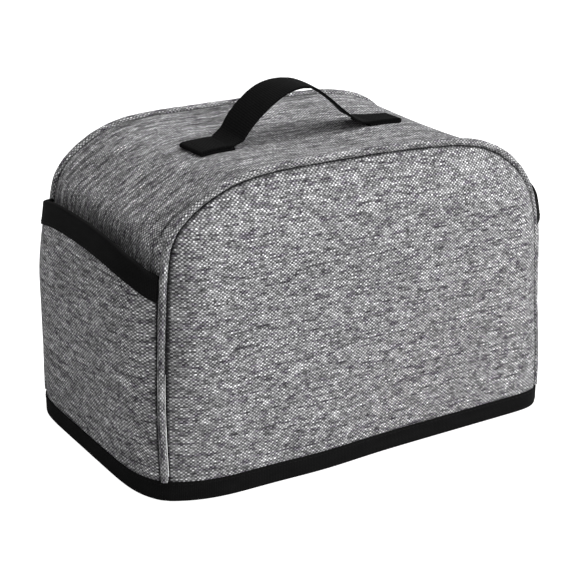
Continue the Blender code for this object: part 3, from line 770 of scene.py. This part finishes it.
def pocket_grid(side):
    grid = []
    mouth_spots = pocket_spots(side, 0.150)
    for i in range(POCKET_STEPS + 3):
        t = min(max(i - 1, 0) / POCKET_STEPS, 1.0)
        spots = mouth_spots if t == 1.0 else pocket_spots(side, 0.015 + 0.126 * t)
        row = []
        for y in spots:
            z = 0.0150 + (mouth_height(y) - POCKET_TAPE_HEIGHT - 0.0150) * t
            if i == 0:
                z = HEM_FLOOR
            if i == POCKET_STEPS + 2:
                z = mouth_height(y) - TAPE - 0.00045
            row.append((pocket_x(side, y, z), y, z))
        grid.append(row)
    return np.array(grid)


def fold_path(cloth, height, legs=7):
    """Tape folded over an edge: steps out from the cloth's outer face, with depth below the fold."""
    out = FOLD_GAP + TAPE / 2.0
    inner = -(cloth + FOLD_GAP + TAPE / 2.0)
    bend = min(0.5 * (out - inner), 0.0014)
    path = [(out, height - (height - bend - TAPE / 2.0) * k / legs) for k in range(legs)]
    for centre, start in ((out - bend, 0.0), (inner + bend, 90.0)):
        for k in range(5):
            angle = math.radians(start + 22.5 * k)
            path.append((centre + bend * math.cos(angle), TAPE / 2.0 + bend - bend * math.sin(angle)))
    if out - inner <= 2.0 * bend + 0.00001:
        del path[legs + 5]
    path += [(inner, bend + TAPE / 2.0 + (height - bend - TAPE / 2.0) * (k + 1) / legs) for k in range(legs)]
    return path


def mouth_tape_grid(side):
    spots = pocket_spots(side, 0.150)
    grid = []
    for y in spots:
        row = []
        for out, down in fold_path(POCKET_CLOTH, POCKET_TAPE_HEIGHT):
            z = mouth_height(y) - down
            slope = pocket_slope(side, y, z)
            size = math.sqrt(1.0 + slope * slope)
            row.append((pocket_x(side, y, z) + side * out / size, y - side * slope * out / size, z))
        grid.append(row)
    return np.array(grid)


def far_from_edge(grid):
    return np.full(grid.shape[:2], 0.02)


TAPE_GRID = {}
for side, word in ((-1, "left"), (1, "right")):
    grid = pocket_grid(side)
    across = measured_rows(grid, 1)
    flat = grid[:, :, [1, 2]].copy()
    edge = np.minimum(across, across[:, -1:] - across)
    made = cloth_sheet(f"{word}_pocket", grid, flat, edge, POCKET_GREY, POCKET_CLOTH)
    say(made, grid)
    tape = mouth_tape_grid(side)
    TAPE_GRID[side] = tape
    along = np.repeat(measured_rows(tape, 0)[:, :1], tape.shape[1], axis=1)
    flat = np.stack([along, measured_rows(tape, 1)], axis=2)
    made = cloth_sheet(f"{word}_mouth_tape", tape, flat, far_from_edge(tape), TAPE_BLACK, TAPE, offset=0.0,
                       soften=0.00015)
    say(made, tape)

# %% [markdown]
# ## Bound hem
# The hem tape is folded over the bottom edge of all the cloth, so it is wider inside at the two ends, where it
# takes in the pocket and the band together. The cover stands on this fold.

# %% Bind the hem


def end_stack(side, x, y):
    """Thickness of pocket, space and band together at the hem, square to the cloth."""
    index = 0 if side < 0 else STATIONS - 1
    reach = seam_y(SEAM[-1][index, 0], 0.015, -1.0 if y < 0 else 1.0)
    v = min(max(0.5 + 0.5 * y / reach, 0.0), 1.0)
    lean = math.sqrt(1.0 + pocket_slope(side, y, 0.015) ** 2)
    return (abs(x - band_point(index, v)[0]) / lean + BODY_CLOTH + 0.0003
            + 0.0012 * smooth(0.86, 0.95, abs(y) / reach))


def hem_grid():
    front = [(p[0], p[1], BODY_CLOTH) for p in FACE_GRID[-1][0]]
    back = [(p[0], p[1], BODY_CLOTH) for p in FACE_GRID[1][0][::-1]]
    right = [(pocket_x(1, y, 0.015), y, 0.0) for y in pocket_spots(1, 0.015)]
    left = [(pocket_x(-1, y, 0.015), y, 0.0) for y in pocket_spots(-1, 0.015)[::-1]]
    right = [(x, y, end_stack(1, x, y)) for x, y, _ in right]
    left = [(x, y, end_stack(-1, x, y)) for x, y, _ in left]
    ring = np.array(front + right + back + left)
    width = ring[:, 2].copy()
    for _ in range(12):
        width = (np.roll(width, 1) + 2 * width + np.roll(width, -1)) / 4
    width = np.maximum(width, ring[:, 2])
    plan = ring[:, :2]
    ahead = np.roll(plan, -1, axis=0) - np.roll(plan, 1, axis=0)
    ahead /= np.linalg.norm(ahead, axis=1)[:, None]
    normal = np.stack([ahead[:, 1], -ahead[:, 0]], axis=1)
    for _ in range(6):
        normal = np.roll(normal, 1, axis=0) + 2 * normal + np.roll(normal, -1, axis=0)
        normal /= np.linalg.norm(normal, axis=1)[:, None]
    grid = []
    for i in list(range(len(ring))) + [0]:
        grid.append([(plan[i, 0] + normal[i, 0] * out, plan[i, 1] + normal[i, 1] * out, height)
                     for out, height in fold_path(float(width[i]) + 0.0002, HEM_HEIGHT)])
    return np.array(grid)


HEM_GRID = hem_grid()
hem_along = np.repeat(measured_rows(HEM_GRID, 0)[:, :1], HEM_GRID.shape[1], axis=1)
hem_flat = np.stack([hem_along, measured_rows(HEM_GRID, 1)], axis=2)
hem_tape = cloth_sheet("hem_tape", HEM_GRID, hem_flat, far_from_edge(HEM_GRID), TAPE_BLACK, TAPE, offset=0.0,
                       ring=True, soften=0.00015)
for vertex in hem_tape.data.vertices:
    vertex.co.z = max(vertex.co.z, 0.0)
say(hem_tape, HEM_GRID)

# %% [markdown]
# ## Piping
# A thin filler cord wrapped in the grey cloth is caught between face and band. It starts above the hem tape,
# runs round the face and ends above the hem tape again.

# %% Lay the piping in both seams
PIPING_SIDES = 16


def piping(name, sign):
    low = HEM_HEIGHT + 0.0002
    line = [(x, sign * seam_y(x, z, sign), z) for x, z in SEAM[sign] if z > low + 0.0015]
    foot = [(side_x(side, low, sign), sign * seam_y(0.14 * side, low, sign), low) for side in (-1, 1)]
    line = np.array([foot[0]] + line + [foot[1]])
    ahead = np.gradient(line, axis=0)
    ahead /= np.linalg.norm(ahead, axis=1)[:, None]
    level = np.cross(ahead, np.array([0.0, 1.0, 0.0]))
    level /= np.linalg.norm(level, axis=1)[:, None]
    upright = np.cross(level, ahead)
    along = np.concatenate([[0.0], np.cumsum(np.linalg.norm(np.diff(line, axis=0), axis=1))])
    angle = np.linspace(0.0, 2.0 * math.pi, PIPING_SIDES + 1)
    radius = PIPING_RADIUS * (1.0 + 0.03 * np.sin(along * 210.0 + sign) + 0.02 * np.sin(along * 517.0))
    grid = np.array([[line[i] + radius[i] * (math.cos(a) * level[i] + math.sin(a) * upright[i]) for a in angle]
                     for i in range(len(line))])
    mesh = bpy.data.meshes.new(name)
    wide = PIPING_SIDES + 1
    faces = [(i * wide + j, i * wide + j + 1, (i + 1) * wide + j + 1, (i + 1) * wide + j)
             for i in range(len(line) - 1) for j in range(PIPING_SIDES)]
    faces.append(tuple(range(PIPING_SIDES)))
    last = (len(line) - 1) * wide
    faces.append(tuple(range(last + PIPING_SIDES - 1, last - 1, -1)))
    mesh.from_pydata(grid.reshape(-1, 3).tolist(), [], faces)
    flat = np.stack([np.repeat(along[:, None], wide, axis=1),
                     np.repeat((angle * PIPING_RADIUS)[None, :], len(line), axis=0)], axis=2)
    layer = mesh.uv_layers.new(name="flat")
    corners = np.array([loop.vertex_index for loop in mesh.loops])
    layer.data.foreach_set("uv", flat.reshape(-1, 2)[corners].astype(np.float32).ravel())
    mask = mesh.attributes.new("edge", "FLOAT", "POINT")
    mask.data.foreach_set("value", np.full(len(mesh.vertices), 0.02, dtype=np.float32))
    work = bmesh.new()
    work.from_mesh(mesh)
    bmesh.ops.remove_doubles(work, verts=work.verts, dist=0.00001)
    bmesh.ops.recalc_face_normals(work, faces=work.faces)
    work.to_mesh(mesh)
    work.free()
    mesh.materials.append(PIPING_GREY)
    made = bpy.data.objects.new(name, mesh)
    bpy.context.scene.collection.objects.link(made)
    apply_all(made)
    return made, float(along[-1])


for sign, name in ((-1, "front_seam_piping"), (1, "back_seam_piping")):
    made, length = piping(name, sign)
    say(made)
    print(f"  {length * 1000:.0f} mm long")

# %% [markdown]
# ## Strap handle
# One length of webbing rises in a low arch. Each end is folded under itself and sewn flat on the top of the
# band, so the ends are two layers thick.

# %% Shape the strap
STRAP_ACROSS = 14
DRAWN_IN = 0.40


def top_height(x, y):
    """Height of the band's outer face under a point near the top."""
    keep = slice(SIDE_STEPS + 6, STATIONS - SIDE_STEPS - 6)
    heights = [np.interp(x, BAND_GRID[keep, j, 0], BAND_GRID[keep, j, 2]) for j in range(ACROSS + 1)]
    return float(np.interp(y, BAND_GRID[STATIONS // 2, :, 1], heights))


def strap_rows():
    """Points along the middle of the strap: x, y, height, tilt, and whether it lies on the band."""
    pitch = STRAP_CLOTH + 0.0003
    rest = 0.0003 + STRAP_CLOTH / 2.0
    rows = []

    def tab(start, tip, end, y_mid, lower_first):
        low, high = rest, rest + pitch
        first, second = (low, high) if lower_first else (high, low)
        for t in np.linspace(0.0, 1.0, 12):
            rows.append((start + (tip - start) * t, y_mid, first, 0.0, 1.0))
        way = -1.0 if tip < 0.0 else 1.0
        for t in np.linspace(0.0, math.pi, 7)[1:-1]:
            rise = 0.5 * (first + second) + 0.5 * (first - second) * math.cos(t)
            rows.append((tip + way * 0.5 * pitch * math.sin(t), y_mid, rise, 0.0, 1.0))
        for t in np.linspace(0.0, 1.0, 12):
            rows.append((tip + (end - tip) * t, y_mid, second, 0.0, 1.0))

    tab(-0.0560, STRAP_TIP_LEFT, -0.0575, -0.0100, True)
    for x, y, z, tilt in line_through(STRAP_ROWS, ("x", "y", "z", "tilt"), 70):
        rows.append((x, y, z, tilt, 0.0))
    tab(0.0500, STRAP_TIP_RIGHT, 0.0510, 0.0005, False)
    return rows


def strap_grid():
    grid = []
    for x, y, z, tilt, lies in strap_rows():
        row = []
        for j in range(STRAP_ACROSS + 1):
            w = (j / STRAP_ACROSS - 0.5) * STRAP_WIDTH
            if x > 0.040:
                w = (w + STRAP_WIDTH / 2.0) * (1.0 - DRAWN_IN * smooth(0.040, 0.066, x)) - STRAP_WIDTH / 2.0
            if lies:
                row.append((x, y + w, top_height(x, y + w) + z))
            else:
                angle = math.radians(tilt)
                row.append((x, y + w * math.cos(angle), z + w * math.sin(angle)))
        grid.append(row)
    return np.array(grid)


STRAP_GRID = strap_grid()
strap_along = np.repeat(measured_rows(STRAP_GRID, 0)[:, :1], STRAP_ACROSS + 1, axis=1)
strap_flat = np.stack([strap_along, measured_rows(STRAP_GRID, 1)], axis=2)
strap = cloth_sheet("strap", STRAP_GRID, strap_flat, far_from_edge(STRAP_GRID), WEBBING, STRAP_CLOTH, offset=0.0,
                    soften=0.0003)
say(strap, STRAP_GRID)

# %% [markdown]
# ## Stitches
# Black thread holds the tapes and the strap. Each stitch is a short bead of thread that dips in at both ends,
# pulled slightly into the tape, a stitch length apart.

# %% Sew the lines of stitches
STITCH = 0.0028
STITCH_GAP = 0.0008
THREAD_RADIUS = 0.00022


def grid_normals(grid):
    along = np.gradient(grid, axis=0)
    across = np.gradient(grid, axis=1)
    normal = np.cross(along, across)
    return normal / np.maximum(np.linalg.norm(normal, axis=2)[:, :, None], 1e-12)


def stitches(name, lines, material):
    """Stitches along lines of points, each line given with the outward direction at its points."""
    verts, faces = [], []
    rings, sides = 5, 6
    for points, outs in lines:
        along = np.concatenate([[0.0], np.cumsum(np.linalg.norm(np.diff(points, axis=0), axis=1))])
        start = 0.5 * STITCH_GAP
        while start + STITCH < along[-1]:
            base = len(verts)
            for k in range(rings):
                t = k / (rings - 1)
                at = start + STITCH * t
                spot = np.array([np.interp(at, along, points[:, c]) for c in range(3)])
                ahead = np.array([np.interp(at + 0.0003, along, points[:, c]) for c in range(3)]) - np.array(
                    [np.interp(at - 0.0003, along, points[:, c]) for c in range(3)])
                ahead /= np.linalg.norm(ahead)
                out = np.array([np.interp(at, along, outs[:, c]) for c in range(3)])
                out /= np.linalg.norm(out)
                wide = np.cross(ahead, out)
                bow = math.sin(math.pi * t)
                radius = THREAD_RADIUS * (0.35 + 0.65 * bow)
                centre = spot + out * (THREAD_RADIUS * (0.9 * bow - 0.5))
                for s in range(sides):
                    angle = 2.0 * math.pi * s / sides
                    verts.append(centre + radius * (math.cos(angle) * wide + math.sin(angle) * out))
            for k in range(rings - 1):
                for s in range(sides):
                    a = base + k * sides + s
                    b = base + k * sides + (s + 1) % sides
                    faces.append((a, b, b + sides, a + sides))
            faces.append(tuple(base + s for s in range(sides - 1, -1, -1)))
            faces.append(tuple(base + (rings - 1) * sides + s for s in range(sides)))
            start += STITCH + STITCH_GAP
    mesh = bpy.data.meshes.new(name)
    mesh.from_pydata([tuple(v) for v in verts], [], faces)
    layer = mesh.uv_layers.new(name="flat")
    layer.data.foreach_set("uv", np.array([(mesh.vertices[l.vertex_index].co.x + mesh.vertices[l.vertex_index].co.y,
                                            mesh.vertices[l.vertex_index].co.z) for l in mesh.loops],
                                          dtype=np.float32).ravel())
    mask = mesh.attributes.new("edge", "FLOAT", "POINT")
    mask.data.foreach_set("value", np.full(len(mesh.vertices), 0.02, dtype=np.float32))
    work = bmesh.new()
    work.from_mesh(mesh)
    bmesh.ops.recalc_face_normals(work, faces=work.faces)
    work.to_mesh(mesh)
    work.free()
    mesh.materials.append(material)
    made = bpy.data.objects.new(name, mesh)
    bpy.context.scene.collection.objects.link(made)
    apply_all(made)
    say(made)
    return made


def outer_line(grid, column, lift, inside=(0.0, 0.0)):
    """A line lengthwise on a sheet, lifted off its middle to its outer face."""
    points = grid[:, column]
    outs = grid_normals(grid)[:, column].copy()
    middle = np.array([inside[0], inside[1], 0.08])
    facing = ((points - middle) * outs).sum(axis=1)
    outs[facing < 0] *= -1.0
    return points + outs * lift, outs


hem_stitches = stitches("hem_stitches", [outer_line(HEM_GRID, 1, TAPE / 2.0)], THREAD)
mouth_stitches = {side: stitches(f"{word}_mouth_stitches", [outer_line(TAPE_GRID[side], 1, TAPE / 2.0)], THREAD)
                  for side, word in ((-1, "left"), (1, "right"))}


def tab_box(x_in, x_out, y_mid, height):
    """A rectangle of stitching on one end of the strap."""
    half = STRAP_WIDTH / 2.0 - 0.0030
    far = half - (DRAWN_IN * STRAP_WIDTH if x_in > 0.0 else 0.0)
    corners = [(x_in, -half), (x_out, -half), (x_out, far), (x_in, far), (x_in, -half)]
    lines = []
    for (xa, wa), (xb, wb) in zip(corners[:-1], corners[1:]):
        points = []
        for t in np.linspace(0.0, 1.0, 12):
            x, w = xa + (xb - xa) * t, wa + (wb - wa) * t
            points.append((x, y_mid + w, top_height(x, y_mid + w) + height))
        lines.append((np.array(points), np.tile([0.0, 0.0, 1.0], (12, 1))))
    return lines


tab_top = 0.0003 + 2.0 * STRAP_CLOTH + 0.0003
strap_stitches = stitches("strap_stitches", tab_box(-0.0605, STRAP_TIP_LEFT + 0.0030, -0.0100, tab_top)
                          + tab_box(0.0545, STRAP_TIP_RIGHT - 0.0030, 0.0005, tab_top), THREAD)

# %% [markdown]
# ## What each piece is
# Every new piece stands for its solid in the frame, which is hidden, and rides on the one body.

# %% Put the pieces on the body and hide the frame solids
PARTS = (
    ("front_face", "front_panel", "grey_cloth", "stretched", ("piping_front", "hem_binding")),
    ("back_face", "back_panel", "grey_cloth", "stretched", ("piping_back", "hem_binding")),
    ("band", "gusset", "grey_cloth", "stretched", ("piping_front", "piping_back", "hem_binding")),
    ("left_pocket", "pocket_left", "grey_cloth", "hung", ("piping_front", "piping_back", "hem_binding")),
    ("right_pocket", "pocket_right", "grey_cloth", "hung", ("piping_front", "piping_back", "hem_binding")),
    ("left_mouth_tape", "pocket_binding_left", "black_tape", "folded", ("pocket_left",)),
    ("right_mouth_tape", "pocket_binding_right", "black_tape", "folded", ("pocket_right",)),
    ("hem_tape", "hem_binding", "black_tape", "folded", ("front_panel", "back_panel", "gusset")),
    ("strap", "handle", "black_webbing", "folded", ("gusset",)),
)
for name, node, slot_name, held, rests in PARTS:
    piece = bpy.data.objects[name]
    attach(piece, "root")
    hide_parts(node)
for name, node in (("front_seam_piping", "piping_front"), ("back_seam_piping", "piping_back")):
    piece = bpy.data.objects[name]
    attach(piece, "root")
    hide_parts(node)
for piece in (hem_stitches, mouth_stitches[-1], mouth_stitches[1], strap_stitches):
    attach(piece, "root")
print("pieces told:", len(PARTS) + 2 + 4)

# %% [markdown]
# ## Camera, floor and light
# The camera stands where the photograph was taken from, a little above the cover and to its left, with a long
# lens. The studio is white all round. A broad light high on the right leaves the left end in half shade.

# %% Set the camera, floor and lights
CAMERA_PLACE = Vector((-0.47774, -0.75794, 0.40686))
CAMERA_AIM = Vector((-0.0023, 0.0, 0.0827))
lens = bpy.data.cameras.new("camera")
lens.lens = 89.15
lens.sensor_width = 36.0
lens.clip_start = 0.01
camera = bpy.data.objects.new("camera", lens)
camera.location = CAMERA_PLACE
camera.rotation_euler = (CAMERA_AIM - CAMERA_PLACE).to_track_quat("-Z", "Y").to_euler()
bpy.context.scene.collection.objects.link(camera)
bpy.context.scene.camera = camera


def plain_light_floor():
    """A floor that looks as white as the backdrop, and throws back only a little light."""
    made = bpy.data.materials.new("white floor")
    made.use_nodes = True
    tree = made.node_tree
    shader = tree.nodes["Principled BSDF"]
    grain = tree.nodes.new("ShaderNodeTexNoise")
    grain.inputs["Scale"].default_value = 40.0
    place = tree.nodes.new("ShaderNodeTexCoord")
    tree.links.new(place.outputs["Object"], grain.inputs["Vector"])
    w = Wiring(tree)
    paper = w.mix(grain.outputs[0], (0.50, 0.50, 0.50, 1.0), (0.54, 0.54, 0.54, 1.0))
    tree.links.new(paper, shader.inputs["Base Color"])
    shader.inputs["Roughness"].default_value = 0.9
    shader.inputs["Specular IOR Level"].default_value = 0.1
    shader.inputs["Emission Color"].default_value = (1.0, 1.0, 1.0, 1.0)
    seen = tree.nodes.new("ShaderNodeLightPath")
    tree.links.new(w.ramp(seen.outputs["Is Camera Ray"], 0.0, 1.0, 0.05, 1.0), shader.inputs["Emission Strength"])
    return made


bpy.ops.mesh.primitive_plane_add(size=6.0, location=(0.0, 0.0, -0.0006))
floor = bpy.context.object
floor.name = "floor"
floor.data.materials.append(plain_light_floor())


def area_light(name, place, aim, size, watts):
    light = bpy.data.lights.new(name, "AREA")
    light.shape = "SQUARE"
    light.size = size
    light.energy = watts
    made = bpy.data.objects.new(name, light)
    made.location = place
    made.rotation_euler = (Vector(aim) - Vector(place)).to_track_quat("-Z", "Y").to_euler()
    bpy.context.scene.collection.objects.link(made)
    return made


area_light("key light", (0.85, -0.62, 1.55), (0.0, 0.0, 0.10), 1.7, 38.0)
area_light("front fill", (0.55, -1.50, 0.55), (0.0, 0.0, 0.10), 1.0, 9.5)

world = bpy.context.scene.world or bpy.data.worlds.new("studio")
bpy.context.scene.world = world
world.use_nodes = True
sky = world.node_tree
background = sky.nodes["Background"]
seen = sky.nodes.new("ShaderNodeLightPath")
tone = sky.nodes.new("ShaderNodeMix")
tone.data_type = "FLOAT"
tone.inputs[2].default_value = 0.46
tone.inputs[3].default_value = 1.0
sky.links.new(seen.outputs["Is Camera Ray"], tone.inputs[0])
sky.links.new(tone.outputs[0], background.inputs["Strength"])
background.inputs["Color"].default_value = (1.0, 1.0, 1.0, 1.0)
bpy.context.scene.view_settings.view_transform = "Standard"
bpy.context.scene.view_settings.look = "None"
print("camera at", tuple(round(c, 3) for c in camera.location))
